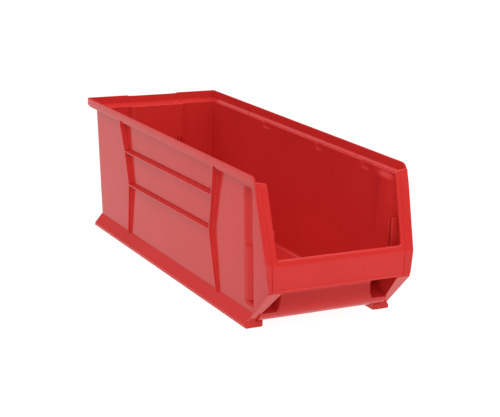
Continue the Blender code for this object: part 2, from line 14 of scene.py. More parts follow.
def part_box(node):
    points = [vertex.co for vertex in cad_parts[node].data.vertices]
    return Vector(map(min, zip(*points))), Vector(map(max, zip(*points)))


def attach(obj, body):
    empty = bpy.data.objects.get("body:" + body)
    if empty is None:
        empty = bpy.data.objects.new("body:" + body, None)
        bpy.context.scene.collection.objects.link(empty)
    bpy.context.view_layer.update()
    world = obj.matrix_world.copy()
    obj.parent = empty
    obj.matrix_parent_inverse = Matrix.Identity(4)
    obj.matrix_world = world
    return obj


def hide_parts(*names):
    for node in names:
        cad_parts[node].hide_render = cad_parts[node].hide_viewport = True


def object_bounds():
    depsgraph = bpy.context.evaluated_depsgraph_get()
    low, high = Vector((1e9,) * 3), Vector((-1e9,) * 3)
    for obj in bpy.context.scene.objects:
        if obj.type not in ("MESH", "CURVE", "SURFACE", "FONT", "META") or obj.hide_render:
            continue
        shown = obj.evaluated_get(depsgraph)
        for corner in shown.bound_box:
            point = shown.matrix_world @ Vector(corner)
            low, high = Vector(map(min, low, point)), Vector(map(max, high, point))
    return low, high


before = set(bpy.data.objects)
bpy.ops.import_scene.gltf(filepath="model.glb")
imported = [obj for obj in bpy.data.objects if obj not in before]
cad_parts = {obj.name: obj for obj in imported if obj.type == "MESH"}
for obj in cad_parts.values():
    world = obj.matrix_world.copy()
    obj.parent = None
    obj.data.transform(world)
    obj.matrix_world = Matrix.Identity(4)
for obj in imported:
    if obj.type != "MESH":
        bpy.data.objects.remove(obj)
CAD_LOW, CAD_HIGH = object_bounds()

# ---------------------------------------------------------------- places taken from the frame
HALF_WIDTH = CAD_HIGH.x
FRONT = CAD_LOW.y
BACK = CAD_HIGH.y
HEIGHT = CAD_HIGH.z
WALL_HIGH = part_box("right_side_wall")[1]
LEDGE_LOW, LEDGE_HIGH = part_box("right_stacking_ledge")
FLOOR_LOW, FLOOR_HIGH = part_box("floor_panel")
LIP_LOW, LIP_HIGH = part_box("front_lip")
SKIRT_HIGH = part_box("right_base_skirt")[1]
RUNNER_LOW, RUNNER_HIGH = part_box("right_base_runner")
FOOT_LOW, FOOT_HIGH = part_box("right_front_foot")
BOTTOM = FLOOR_LOW.z
LEDGE_TOP = LEDGE_HIGH.z
LEDGE_BOTTOM = LEDGE_LOW.z
LEDGE_EDGE = LEDGE_LOW.x
LIP_BOTTOM = LIP_LOW.z
LIP_TOP = LIP_HIGH.z
POST_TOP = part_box("right_front_post")[1].z
CHIN_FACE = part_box("chin_panel")[0].y

# ---------------------------------------------------------------- moulded detail, in metres
WALL = 0.0030
SLOPE = 0.0422
CORNER_RADIUS = 0.0040
FLOOR_RADIUS = 0.0085
RECESS_DEPTH = 0.0080
LEAN = 0.2934
POST_TOP_Y = -0.3379
LIP_SLOPE = 0.0396
FOLD_SOFTNESS = 0.0012
STRIP_FOOT_Y = -0.3150
STRIP_FOOT_Z = 0.0121
SIDE_INSET = HALF_WIDTH - (WALL_HIGH.x + (LEDGE_BOTTOM - WALL_HIGH.z) * SLOPE)

# Angles, in degrees, above which a shell or a loft is creased and an edge is rounded
SHELL_CREASE = 50
LOFT_CREASE = 40
EDGE_ANGLE = 25


# ---------------------------------------------------------------- helpers
def blend(low, high, value):
    """Smooth step from 0 at low to 1 at high."""
    share = min(1.0, max(0.0, (value - low) / (high - low)))
    return share * share * (3 - 2 * share)


def between(low, high, share):
    """Point at a share of the way from low to high."""
    return low + (high - low) * share


def steps(low, high, count):
    """count + 1 evenly spaced values from low to high."""
    return [between(low, high, k / count) for k in range(count + 1)]


def table(points, value):
    """Value on a line through (place, value) points, held flat at both ends."""
    if value <= points[0][0]:
        return points[0][1]
    for (a, low), (b, high) in zip(points, points[1:]):
        if value <= b:
            return between(low, high, (value - a) / (b - a))
    return points[-1][1]


def side_x(z):
    """Outer face of a side wall."""
    return WALL_HIGH.x + (z - WALL_HIGH.z) * SLOPE


def back_y(z):
    """Outer face of the back wall."""
    return WALL_HIGH.y + (z - WALL_HIGH.z) * SLOPE


def post_y(z):
    """Front face of the leaning posts."""
    return POST_TOP_Y - (HEIGHT - z) * LEAN


def face_y(z):
    """Front face of lip and posts, with a soft fold where they meet."""
    lip = FRONT + (z - LIP_BOTTOM) * LIP_SLOPE
    post = post_y(z)
    share = min(1.0, max(0.0, 0.5 + 0.5 * (post - lip) / FOLD_SOFTNESS))
    return between(lip, post, share) + FOLD_SOFTNESS * share * (1 - share)


def show(name, mesh_data, nodes):
    """A finished visual piece: it rides on the rigid body and stands for CAD nodes."""
    piece = bpy.data.objects.new(name, mesh_data)
    bpy.context.scene.collection.objects.link(piece)
    mesh_data.materials.append(PLASTIC)
    for polygon in mesh_data.polygons:
        polygon.use_smooth = True
    if nodes:
        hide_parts(*nodes)
    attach(piece, "root")
    return piece


def sharpen(mesh_data, degrees):
    """Shade smoothly, with a crease wherever faces meet at more than the given angle."""
    for polygon in mesh_data.polygons:
        polygon.use_smooth = True
    mesh_data.set_sharp_from_angle(angle=math.radians(degrees))


def mesh_from(name, build):
    """New mesh whose faces are made by build(bmesh)."""
    mesh_data = bpy.data.meshes.new(name)
    shape = bmesh.new()
    build(shape)
    shape.to_mesh(mesh_data)
    shape.free()
    return mesh_data


def sheet_mesh(name, rows, outward, thickness):
    """Open grid of rows, thickened away from its outer face, with crisp ends."""
    count = len(rows[0])

    def build(shape):
        lattice = [[shape.verts.new(point) for point in row] for row in rows]
        for low, high in zip(lattice, lattice[1:]):
            for k in range(count - 1):
                shape.faces.new((low[k], low[k + 1], high[k + 1], high[k]))
        shape.normal_update()
        shape.faces.ensure_lookup_table()
        middle = shape.faces[len(shape.faces) // 2]
        if middle.normal.dot(Vector(outward)) < 0:
            bmesh.ops.reverse_faces(shape, faces=shape.faces)

    return thickened(mesh_from(name, build), thickness)


def shell_mesh(name, outer, inner):
    """Closed wall between two grids of rows that have the same layout."""
    count = len(outer[0])

    def build(shape):
        front = [[shape.verts.new(point) for point in row] for row in outer]
        back = [[shape.verts.new(point) for point in row] for row in inner]
        for grid in (front, back):
            for low, high in zip(grid, grid[1:]):
                for k in range(count - 1):
                    shape.faces.new((low[k], low[k + 1], high[k + 1], high[k]))
        for k in range(count - 1):
            for near, far in ((front[0], back[0]), (front[-1], back[-1])):
                shape.faces.new((near[k], near[k + 1], far[k + 1], far[k]))
        for k in range(len(outer) - 1):
            for end in (0, -1):
                near, after = front[k][end], front[k + 1][end]
                shape.faces.new((near, after, back[k + 1][end], back[k][end]))
        bmesh.ops.recalc_face_normals(shape, faces=shape.faces)

    result = mesh_from(name, build)
    sharpen(result, SHELL_CREASE)
    return result


def thickened(mesh_data, thickness):
    """Give an open surface its wall thickness, behind its outer face."""
    helper = bpy.data.objects.new("helper", mesh_data)
    bpy.context.scene.collection.objects.link(helper)
    solid = helper.modifiers.new("wall", "SOLIDIFY")
    solid.thickness = thickness
    solid.offset = -1.0
    solid.use_even_offset = True
    bpy.context.view_layer.update()
    depsgraph = bpy.context.evaluated_depsgraph_get()
    result = bpy.data.meshes.new_from_object(helper.evaluated_get(depsgraph))
    result.name = mesh_data.name
    bpy.data.objects.remove(helper)
    sharpen(result, SHELL_CREASE)
    return result


def loft_mesh(name, sections, degrees=LOFT_CREASE):
    """Closed solid through closed sections that have the same number of points."""
    count = len(sections[0])

    def build(shape):
        loops = [[shape.verts.new(point) for point in section] for section in sections]
        for low, high in zip(loops, loops[1:]):
            for k in range(count):
                after = (k + 1) % count
                shape.faces.new((low[k], low[after], high[after], high[k]))
        shape.faces.new(loops[0])
        shape.faces.new(loops[-1])
        bmesh.ops.recalc_face_normals(shape, faces=shape.faces)

    result = mesh_from(name, build)
    sharpen(result, degrees)
    return result


def mirror_mesh(mesh_data, name):
    """Left-hand twin of a right-hand mesh."""
    twin = mesh_data.copy()
    twin.name = name
    twin.transform(Matrix.Scale(-1.0, 4, (1, 0, 0)))
    twin.flip_normals()
    twin.materials.clear()
    return twin


def both_sides(name, mesh_data, nodes, soften=0.0):
    """Show a right-hand piece and its left-hand twin."""
    twin = mirror_mesh(mesh_data, "left_" + name)
    right = show("right_" + name, mesh_data, ["right_" + node for node in nodes])
    left = show("left_" + name, twin, ["left_" + node for node in nodes])
    if soften:
        round_edges(right, soften)
        round_edges(left, soften)
    return right, left


def round_edges(piece, radius):
    """Soften every edge that turns more than EDGE_ANGLE."""
    bevel = piece.modifiers.new("rounded_edges", "BEVEL")
    bevel.width = radius
    bevel.segments = 3
    bevel.limit_method = "ANGLE"
    bevel.angle_limit = math.radians(EDGE_ANGLE)
    bevel.harden_normals = True
    return piece


def prism_mesh(name, outline, low, high, place):
    """Flat outline of (u, v) points with thickness from low to high; place maps (u, v, w)."""

    def build(shape):
        bottom = [shape.verts.new(place(u, v, low)) for u, v in outline]
        top = [shape.verts.new(place(u, v, high)) for u, v in outline]
        shape.faces.new(bottom)
        shape.faces.new(top)
        for k in range(len(outline)):
            after = (k + 1) % len(outline)
            shape.faces.new((bottom[k], bottom[after], top[after], top[k]))
        bmesh.ops.recalc_face_normals(shape, faces=shape.faces)

    return mesh_from(name, build)


def arc(centre, radius, start, end, count):
    """Points on an arc about centre, between two angles in degrees."""
    points = []
    for angle in steps(math.radians(start), math.radians(end), count):
        points.append((centre[0] + radius * math.cos(angle), centre[1] + radius * math.sin(angle)))
    return points


def quarter(count):
    """Sine and remaining cosine of evenly spaced angles over a quarter turn."""
    return [(math.sin(turn), 1 - math.cos(turn)) for turn in steps(0.0, math.pi / 2, count)]


# ---------------------------------------------------------------- material
RED_DEEP = (0.600, 0.0270, 0.0255, 1.0)
RED_BRIGHT = (0.635, 0.0310, 0.0285, 1.0)
RED_SCUFF = (0.700, 0.0600, 0.0450, 1.0)
REFRACTION = 1.29
SCUFF_STRENGTH = 0.05
SCUFF_ROUGHNESS = 0.04
ROUGHNESS = (0.13, 0.19)
PEEL_STRENGTH = 0.04
PEEL_HEIGHT = 0.0004
WAVE_STRENGTH = 0.10
WAVE_HEIGHT = 0.0020


def plastic_material():
    """Glossy red polypropylene: flow marks, fine orange peel, light scuffs."""
    material = bpy.data.materials.new("red_polypropylene")
    material.use_nodes = True
    tree = material.node_tree
    nodes = tree.nodes
    link = tree.links.new
    shader = nodes["Principled BSDF"]
    shader.inputs["IOR"].default_value = REFRACTION
    shader.inputs["Metallic"].default_value = 0.0
    place = nodes.new("ShaderNodeTexCoord").outputs["Object"]

    def noise(scale, detail, stretch=(1, 1, 1)):
        mapping = nodes.new("ShaderNodeMapping")
        mapping.inputs["Scale"].default_value = stretch
        link(place, mapping.inputs["Vector"])
        texture = nodes.new("ShaderNodeTexNoise")
        texture.inputs["Scale"].default_value = scale
        texture.inputs["Detail"].default_value = detail
        link(mapping.outputs["Vector"], texture.inputs["Vector"])
        return texture.outputs["Fac"]

    def spread(value, low, high, to_low, to_high):
        ranged = nodes.new("ShaderNodeMapRange")
        ranged.inputs["From Min"].default_value = low
        ranged.inputs["From Max"].default_value = high
        ranged.inputs["To Min"].default_value = to_low
        ranged.inputs["To Max"].default_value = to_high
        link(value, ranged.inputs["Value"])
        return ranged.outputs["Result"]

    def bump(strength, height, pattern):
        bumped = nodes.new("ShaderNodeBump")
        bumped.inputs["Strength"].default_value = strength
        bumped.inputs["Distance"].default_value = height
        link(pattern, bumped.inputs["Height"])
        return bumped

    cloud = noise(scale=7.0, detail=3.0)
    ramp = nodes.new("ShaderNodeValToRGB")
    ramp.color_ramp.elements[0].position = 0.30
    ramp.color_ramp.elements[0].color = RED_DEEP
    ramp.color_ramp.elements[1].position = 0.70
    ramp.color_ramp.elements[1].color = RED_BRIGHT
    link(cloud, ramp.inputs["Fac"])
    scuff = spread(noise(scale=60.0, detail=6.0, stretch=(1.0, 0.12, 1.6)), 0.64, 0.80, 0.0, 1.0)
    faded = nodes.new("ShaderNodeMix")
    faded.data_type = "RGBA"
    faded.inputs["B"].default_value = RED_SCUFF
    link(ramp.outputs["Color"], faded.inputs["A"])
    link(spread(scuff, 0.0, 1.0, 0.0, SCUFF_STRENGTH), faded.inputs["Factor"])
    link(faded.outputs["Result"], shader.inputs["Base Color"])

    gloss = nodes.new("ShaderNodeMath")
    gloss.operation = "ADD"
    link(spread(noise(scale=18.0, detail=4.0), 0.3, 0.7, *ROUGHNESS), gloss.inputs[0])
    link(spread(scuff, 0.0, 1.0, 0.0, SCUFF_ROUGHNESS), gloss.inputs[1])
    link(gloss.outputs["Value"], shader.inputs["Roughness"])

    peel = bump(PEEL_STRENGTH, PEEL_HEIGHT, noise(scale=420.0, detail=2.0))
    waves = bump(WAVE_STRENGTH, WAVE_HEIGHT, noise(scale=11.0, detail=1.0))
    link(peel.outputs["Normal"], waves.inputs["Normal"])
    link(waves.outputs["Normal"], shader.inputs["Normal"])
    return material


PLASTIC = plastic_material()

# ---------------------------------------------------------------- tub
# Pairs named STEP or SLOPE are where a smooth step begins and ends, in y or in z.
CHANNEL_DEPTH = 0.0078
CHANNEL_REAR_SLOPE = (-0.2815, -0.2960)
CHANNEL_FRONT_STEP = (-0.3116, -0.3098)
CHANNEL_FOOT_STEP = (0.0325, 0.0375)
CHANNEL_TOP_STEP = (0.2300, 0.2262)
CHANNEL_CORNER_SLOPE = (-0.300, -0.3116)
CHANNEL_CORNER_DROP = 0.0085
BEAD_REAR = -0.2855
BEAD_FRONT = -0.2985
BEAD_LOW = 0.0380
BEAD_HIGH = 0.1285
BEAD_HEIGHT = 0.0034
BEAD_REAR_SLOPE = (-0.2840, -0.2880)
BEAD_FOOT_STEP = (-0.0008, 0.0012)
BEAD_TOP_STEP = (0.0010, -0.0015)
SWELL_DEPTH = 0.0062
SWELL_REAR_SLOPE = (-0.2660, -0.2960)
SWELL_FRONT_SLOPE = (-0.3360, -0.3105)
SWELL_FOOT_STEP = (0.0180, 0.0420)
SWELL_TOP_STEP = (0.2345, 0.2230)

# Scoops at the top of the side walls: from y to y, and the places across each end
SCOOPS = ((0.1045, 0.1345), (-0.0900, -0.0680), (-0.2500, -0.2210))
SCOOP_ENDS = (-0.0020, 0.0010, 0.0035, 0.0060)
SCOOP_DEPTH = 0.0044
SCOOP_DROP = 0.0062
SCOOP_SLOPE = (0.2212, 0.2348)
WALL_SCOOP = 0.0018
WALL_SCOOP_SLOPE = (0.2210, 0.2330)

# Front edge of the side walls, behind the front frame and behind the gusset strips
FRAME_GAP = 0.0016
STRIP_GAP = 0.00224
CORNER_FLAT = 0.0060
RECESS_START = 0.0600
RECESS_END = 0.0535
RECESS_LINES = (0.0480, 0.0240, 0.0)
FLOOR_REACH = 0.0030
FLOOR_LINE = 0.0040


def bead_height(y, z):
    """Rounded bead in the channel, with a U-shaped foot."""
    if not BEAD_FRONT < y < BEAD_REAR:
        return 0.0
    radius = (BEAD_REAR - BEAD_FRONT) / 2
    across = (y - BEAD_FRONT - radius) / radius
    foot = BEAD_LOW + radius * (1 - math.sqrt(1 - across * across))
    foot_share = blend(foot + BEAD_FOOT_STEP[0], foot + BEAD_FOOT_STEP[1], z)
    top_share = blend(BEAD_HIGH + BEAD_TOP_STEP[0], BEAD_HIGH + BEAD_TOP_STEP[1], z)
    return BEAD_HEIGHT * (1 - across**4) * foot_share * top_share


def channel_depth(y, z):
    """How far the side wall is pressed in at the window channel, with its raised bead."""
    across = blend(*CHANNEL_REAR_SLOPE, y) * blend(*CHANNEL_FRONT_STEP, y)
    corner = CHANNEL_CORNER_DROP * blend(*CHANNEL_CORNER_SLOPE, y) ** 2
    top_share = blend(CHANNEL_TOP_STEP[0] - corner, CHANNEL_TOP_STEP[1] - corner, z)
    bead = bead_height(y, z) * blend(*BEAD_REAR_SLOPE, y)
    return (CHANNEL_DEPTH * across - bead) * blend(*CHANNEL_FOOT_STEP, z) * top_share


def channel_swell(y, z):
    """The inside of the wall swells softly where the channel is pressed in."""
    across = blend(*SWELL_REAR_SLOPE, y) * blend(*SWELL_FRONT_SLOPE, y)
    return SWELL_DEPTH * across * blend(*SWELL_FOOT_STEP, z) * blend(*SWELL_TOP_STEP, z)


def scoop(y):
    """Share of the full depth of the scoops at the top of the side walls."""
    share = 0.0
    begin = SCOOP_ENDS[0]
    full = SCOOP_ENDS[-1]
    for low, high in SCOOPS:
        share += blend(low + begin, low + full, y) * blend(high - begin, high - full, y)
    return share


def inner_press(y, z):
    """How far the inner face of the side wall swells in, or is scooped out."""
    return channel_swell(y, z) - WALL_SCOOP * scoop(y) * blend(*WALL_SCOOP_SLOPE, z)


def scooped(x, y, z):
    """The top of the wall slopes down to the inside in the scoops."""
    return (x, y, z - SCOOP_DROP * scoop(y) * blend(*SCOOP_SLOPE, z))


def flat(y, z):
    """Nothing is pressed in near the floor."""
    return 0.0


def front_edge(z):
    """Front edge of the side wall, just behind the posts, the lip and the gusset strips."""
    if z >= LIP_BOTTOM:
        return face_y(z) + FRAME_GAP
    return max(FRONT, STRIP_FOOT_Y - max(0.0, z - STRIP_FOOT_Z)) + STRIP_GAP


def scoop_lines():
    """Places along the side where the scoops begin, deepen and end."""
    lines = []
    for low, high in SCOOPS:
        lines += [low + step for step in SCOOP_ENDS]
        lines += [high - step for step in SCOOP_ENDS]
    return lines


# Places along the side wall, close together at the channel and its bead
PLAIN_LINES = [-0.1900, -0.1400, -0.0400, 0.0100, 0.0600, 0.1800, 0.2300, 0.2800]
CHANNEL_LINES = [-0.3124, -0.3116, -0.3112, -0.3108, -0.3104, -0.3098, -0.3080, -0.3050, -0.3020]
CHANNEL_LINES += [-0.2995, -0.2985, -0.2981, -0.2974, -0.2962, -0.2945, -0.2920, -0.2900, -0.2885]
CHANNEL_LINES += [-0.2873, -0.2864, -0.2858, -0.2850, -0.2835, -0.2815, -0.2780, -0.2740, -0.2660]
SIDE_LINES = sorted(CHANNEL_LINES + scoop_lines() + PLAIN_LINES + [0.3200])
FRONT_SHARES = (0.0, 0.25, 0.5, 0.75)
SPLIT = len(FRONT_SHARES) + len(SIDE_LINES) - 1

# Heights up the wall, close together at the channel's foot, the bead's ends and the scoops
WALL_HEIGHTS = [0.0200, 0.0260, 0.0310, 0.0325, 0.0337, 0.0350, 0.0363, 0.0375, 0.0382, 0.0390]
WALL_HEIGHTS += [0.0400, 0.0410, 0.0422, 0.0435, 0.0450, 0.0500, 0.0600, 0.0680, 0.0765, 0.0860]
WALL_HEIGHTS += [0.1000, 0.1120, 0.1200, 0.1262, 0.1270, 0.1278, 0.1286, 0.1295, 0.1400, 0.1600]
WALL_HEIGHTS += [0.1800, 0.2000, 0.2100, 0.2160, 0.2177, 0.2195, 0.2212, 0.2230, 0.2247, 0.2262]
WALL_HEIGHTS += [0.2275, 0.2287, 0.2300, 0.2315, 0.2330, 0.2348]


def tub_row(side, back, z, pressed):
    """Right half of the tub's outline at one height: front edge, side, corner, back, centre."""
    points = []
    edge = front_edge(z)
    for share in FRONT_SHARES:
        y = between(edge, SIDE_LINES[0], share)
        points.append((side - pressed(y, z), y, z))
    for y in SIDE_LINES:
        points.append((side - pressed(y, z), y, z))
    points.append((side, back - CORNER_RADIUS - CORNER_FLAT, z))
    for x, y in arc((side - CORNER_RADIUS, back - CORNER_RADIUS), CORNER_RADIUS, 0, 90, 6):
        points.append((x, y, z))
    points.append((side - CORNER_RADIUS - CORNER_FLAT, back, z))
    for x in steps(0.1000, 0.0620, 3):
        points.append((x, back, z))
    for share in steps(0.0, 1.0, 8)[1:]:
        x = between(RECESS_START, RECESS_END, share)
        points.append((x, back - RECESS_DEPTH * blend(0.0, 1.0, share), z))
    for x in RECESS_LINES:
        points.append((x, back - RECESS_DEPTH, z))
    return points


def tub_rows(inset, pressed):
    """Rows up the tub's outer face, or up its inner face when inset by the wall."""
    radius = FLOOR_RADIUS - inset
    level = BOTTOM + inset
    reach = FLOOR_RADIUS + FLOOR_REACH
    rows = [tub_row(side_x(BOTTOM) - reach, back_y(BOTTOM) - reach, level, flat)]
    for turn in steps(0.0, math.pi / 2, 6):
        z = level + radius * (1 - math.cos(turn))
        step = inset + radius * (1 - math.sin(turn))
        rows.append(tub_row(side_x(z) - step, back_y(z) - step, z, flat))
    for z in WALL_HEIGHTS:
        rows.append(tub_row(side_x(z) - inset, back_y(z) - inset, z, pressed))
    return rows


def make_tub():
    rows = tub_rows(0.0, channel_depth)
    outer = [row[: SPLIT + 1] for row in rows]
    inner = [[scooped(*point) for point in row[: SPLIT + 1]] for row in tub_rows(WALL, inner_press)]
    shell = shell_mesh("right_side_shell", outer, inner)
    both_sides("side_shell", shell, ["side_wall", "window_channel", "front_panel"])
    rear = [row[SPLIT:] + [(-x, y, z) for x, y, z in reversed(row[SPLIT:-1])] for row in rows]
    nodes = ["back_center_panel"]
    for side in ("left_", "right_"):
        nodes += [side + "back_panel", side + "back_return"]
    show("back_shell", sheet_mesh("back_shell", rear, (0, 1, 0), WALL), nodes)
    front = FLOOR_LOW.y
    loop = [(x, max(y, front)) for x, y, _ in rows[0] if y > front + FLOOR_LINE]
    loop.insert(0, (loop[0][0], front))
    outline = loop + [(-x, y) for x, y in reversed(loop[:-1])]
    floor = prism_mesh("floor", outline, BOTTOM, FLOOR_HIGH.z, lambda u, v, w: (u, v, w))
    sharpen(floor, SHELL_CREASE)
    show("floor", floor, ["floor_panel"])


# ---------------------------------------------------------------- stacking rim
TOP_RADIUS = 0.0011
ROOT_RADIUS = 0.0016
EDGE_ROUND = 0.0014
NOTCH_ROUND = 0.0005
UNDER_RADIUS = 0.0022
UNDER_CHAMFER = 0.0012
UNDER_DROP = 0.0006
UNDER_SIDE = 0.2402
UNDER_WALL = 0.2350
UNDER_LIFT = 0.0002
UNDER_SKEW = 0.0001
UNDER_START = 0.0004
UNDER_END = 0.0002
NOTCH_FLOOR = 0.2351
NOTCH_TUCK = 0.0006
NOTCH_SINK = 0.0003
WALL_SEAT = 0.0010
SIDE_EDGE = 0.0010
SIDE_RADIUS = 0.0009
LEDGE_FLARE = (
    (-0.3400, 0.0090),
    (-0.3368, 0.0084),
    (-0.3280, 0.0036),
    (-0.3160, 0.0006),
    (-0.3030, 0.0),
)
FRONT_STATIONS = (0.0, 0.0012, 0.0028, 0.0048, 0.0075, 0.0110, 0.0150, 0.0220)
FRONT_ROUND = 0.0110
FRONT_DROP = 0.0100
FRONT_LEAN = 0.0300
FRONT_GAP = 0.0008
RIM_CORNER = 0.0050
RIM_CORNER_LEAST = 0.0016
CENTRE_STEP = (0.0600, 0.0530)
CENTRE_SLOPE = (0.0560, 0.0500)
CENTRE_DROP = 0.0010
CENTRE_FORWARD = 0.0030
EAR_PLACE = 0.0615
EAR_HALF = 0.0030
EAR_HEIGHT = 0.0014


def ledge_edge(y):
    """Inner edge of the ledge along a side: it flares in to the post and has scooped notches."""
    return LEDGE_EDGE - table(LEDGE_FLARE, y) + SCOOP_DEPTH * scoop(y)


def rim_profile(edge, wall, top, forward, notch=0.0):
    """Closed section of the rim: (offset from side, offset from back, height) per point.

    edge and wall are pairs of offsets: of the ledge's inner edge, and of the tub's outer face.
    notch is the share of the full scoop, where only a thin floor is left of the ledge.
    """
    points = []

    def add(offset, z):
        points.append((offset, offset + forward, z))

    def add_near(pair, shift, z):
        points.append((pair[0] + shift, pair[1] + shift, z))

    for rise, out in quarter(4):
        add(TOP_RADIUS * out, top - TOP_RADIUS * (1 - rise))
    for rise, out in reversed(quarter(3)):
        add(WALL - TOP_RADIUS * out, top - TOP_RADIUS * (1 - rise))
    for rise, out in quarter(4):
        add(WALL + ROOT_RADIUS * out, LEDGE_TOP + ROOT_RADIUS * (1 - rise))
    turn = between(EDGE_ROUND, NOTCH_ROUND, notch)
    for rise, out in reversed(quarter(4)):
        add_near(edge, -turn * out, LEDGE_TOP - turn * (1 - rise))
    add_near(edge, 0.0, between(LEDGE_BOTTOM, NOTCH_FLOOR, notch))
    tucked = [between(edge[k] - UNDER_CHAMFER, wall[k] + NOTCH_TUCK, notch) for k in range(2)]
    under = LEDGE_BOTTOM - UNDER_DROP
    points.append((tucked[0], tucked[1], between(under, NOTCH_FLOOR - NOTCH_SINK, notch)))
    add_near(wall, WALL_SEAT, under)
    for rise, out in quarter(3):
        drop = UNDER_RADIUS * (1 - rise)
        shift = -UNDER_RADIUS * out - UNDER_SKEW * rise
        add_near(wall, shift, UNDER_WALL + UNDER_LIFT - drop)
    for share in (0.35, 0.70):
        side = between(wall[0] - UNDER_RADIUS, SIDE_EDGE, share)
        back = between(wall[1] - UNDER_RADIUS, SIDE_EDGE + forward, share)
        z = between(UNDER_WALL + UNDER_START, UNDER_SIDE - UNDER_END, share)
        points.append((side, back, z))
    for rise, out in reversed(quarter(3)):
        add(SIDE_RADIUS * out, UNDER_SIDE + SIDE_RADIUS * (1 - rise))
    return points


def rim_along_side(y):
    """Section of the side rim at y: rounded down and leaning with the post at its front end."""
    reach = y - post_y(HEIGHT)
    short = 1 - min(1.0, reach / FRONT_ROUND)
    drop = FRONT_DROP * (1 - math.sqrt(max(0.0, 1 - short**2)))
    lean = LEAN * (1 - blend(0.0, FRONT_LEAN, reach))
    edge = (HALF_WIDTH - ledge_edge(y), 0.0)
    section = []
    for side, _, z in rim_profile(edge, (SIDE_INSET, 0.0), HEIGHT - drop, 0.0, scoop(y)):
        section.append((HALF_WIDTH - side, y - (HEIGHT - z - drop) * lean + FRONT_GAP, z))
    return section


def rim_round_corner(turn, profile):
    """Section of the rim at an angle of the rear corner."""
    section = []
    for side, rear, z in profile:
        radius = max(RIM_CORNER_LEAST, RIM_CORNER - min(side, rear))
        x = HALF_WIDTH - side - radius + radius * math.cos(turn)
        y = BACK - rear - radius + radius * math.sin(turn)
        section.append((x, y, z))
    return section


def rim_along_back(x, back_inset):
    """Section of the back rim at x: it follows the recess of the centre panel."""
    recess = RECESS_DEPTH * blend(*CENTRE_STEP, x)
    ear = EAR_HEIGHT * math.exp(-(((x - EAR_PLACE) / EAR_HALF) ** 2))
    centre = blend(*CENTRE_SLOPE, x)
    edge = (0.0, back_inset + WALL + recess - ear)
    wall = (0.0, back_inset + recess)
    profile = rim_profile(edge, wall, HEIGHT - CENTRE_DROP * centre, CENTRE_FORWARD * centre)
    return [(x, BACK - rear, z) for _, rear, z in profile]


def make_rim():
    ends = [post_y(HEIGHT) + reach for reach in FRONT_STATIONS] + steps(-0.3140, -0.2550, 5)
    ys = sorted(ends + scoop_lines() + PLAIN_LINES + [0.3200, 0.3560])
    sections = [rim_along_side(y) for y in ys]
    back_inset = BACK - back_y(LEDGE_BOTTOM)
    edge = (HALF_WIDTH - LEDGE_EDGE, back_inset + WALL)
    corner = rim_profile(edge, (SIDE_INSET, back_inset), HEIGHT, 0.0)
    sections += [rim_round_corner(math.radians(angle), corner) for angle in steps(0, 90, 6)]
    xs = steps(0.1200, 0.0620, 4) + steps(0.0600, 0.0520, 8) + [0.0400, 0.0200, 0.0]
    sections += [rim_along_back(x, back_inset) for x in xs]
    mirrored = [[(-x, y, z) for x, y, z in section] for section in reversed(sections[:-1])]
    nodes = ["back_stacking_ledge", "back_center_rim"]
    for side in ("left_", "right_"):
        nodes += [side + node for node in ("stacking_ledge", "side_rim", "back_rim")]
    show("stacking_rim", loft_mesh("stacking_rim", sections + mirrored), nodes)


# ---------------------------------------------------------------- front frame: posts and lip
# Outlines as (height, half width): outside of the frame, and inner edge of the posts
FRAME_OUTSIDE = ((0.0765, 0.1302), (0.0900, 0.1320), (0.1100, 0.1343), (0.1204, 0.1354), (0.2200, 0.1396))
POST_INSIDE = ((0.1270, 0.1138), (0.1600, 0.1147), (0.2000, 0.1159), (0.2360, 0.1172), (0.2430, 0.1175))
POST_HEIGHTS = (0.2300, 0.2200, 0.2000, 0.1800, 0.1600, 0.1450, 0.1360)
CORNER_HEIGHTS = (0.1300, 0.1250, 0.1204, 0.1140, 0.1060, 0.0980, 0.0900, 0.0830)

# Rounded top of a post: (drop, how far its inner edge is cut back, inset)
POST_CROWN = (
    (0.0, 0.0042, 0.0009),
    (0.0004, 0.0030, 0.0003),
    (0.0010, 0.0022, 0.0),
    (0.0022, 0.0009, 0.0),
    (0.0042, 0.0, 0.0),
)
POST_SHOULDER = 0.0030
POST_BEAD = 0.0058
POST_STEP = 0.0022
POST_ROLL = 0.0018
LIP_BEAD = 0.0042
LIP_STEP = 0.0030
LIP_ROLL = 0.0026
INNER_CORNER = 0.0040
OUTER_CORNER = 0.0030
FRAME_BACK = 0.0008
FRAME_CREASE = 35
FACE_SHARES = (0.1, 0.25, 0.45, 0.65, 0.80, 0.92, 1.0)
REAR_SHARES = (1.0, 0.75, 0.40, 0.15)


def frame_outer(z):
    return min(HALF_WIDTH - 0.0001, table(FRAME_OUTSIDE, z))


def post_inner(z):
    return table(POST_INSIDE, z)


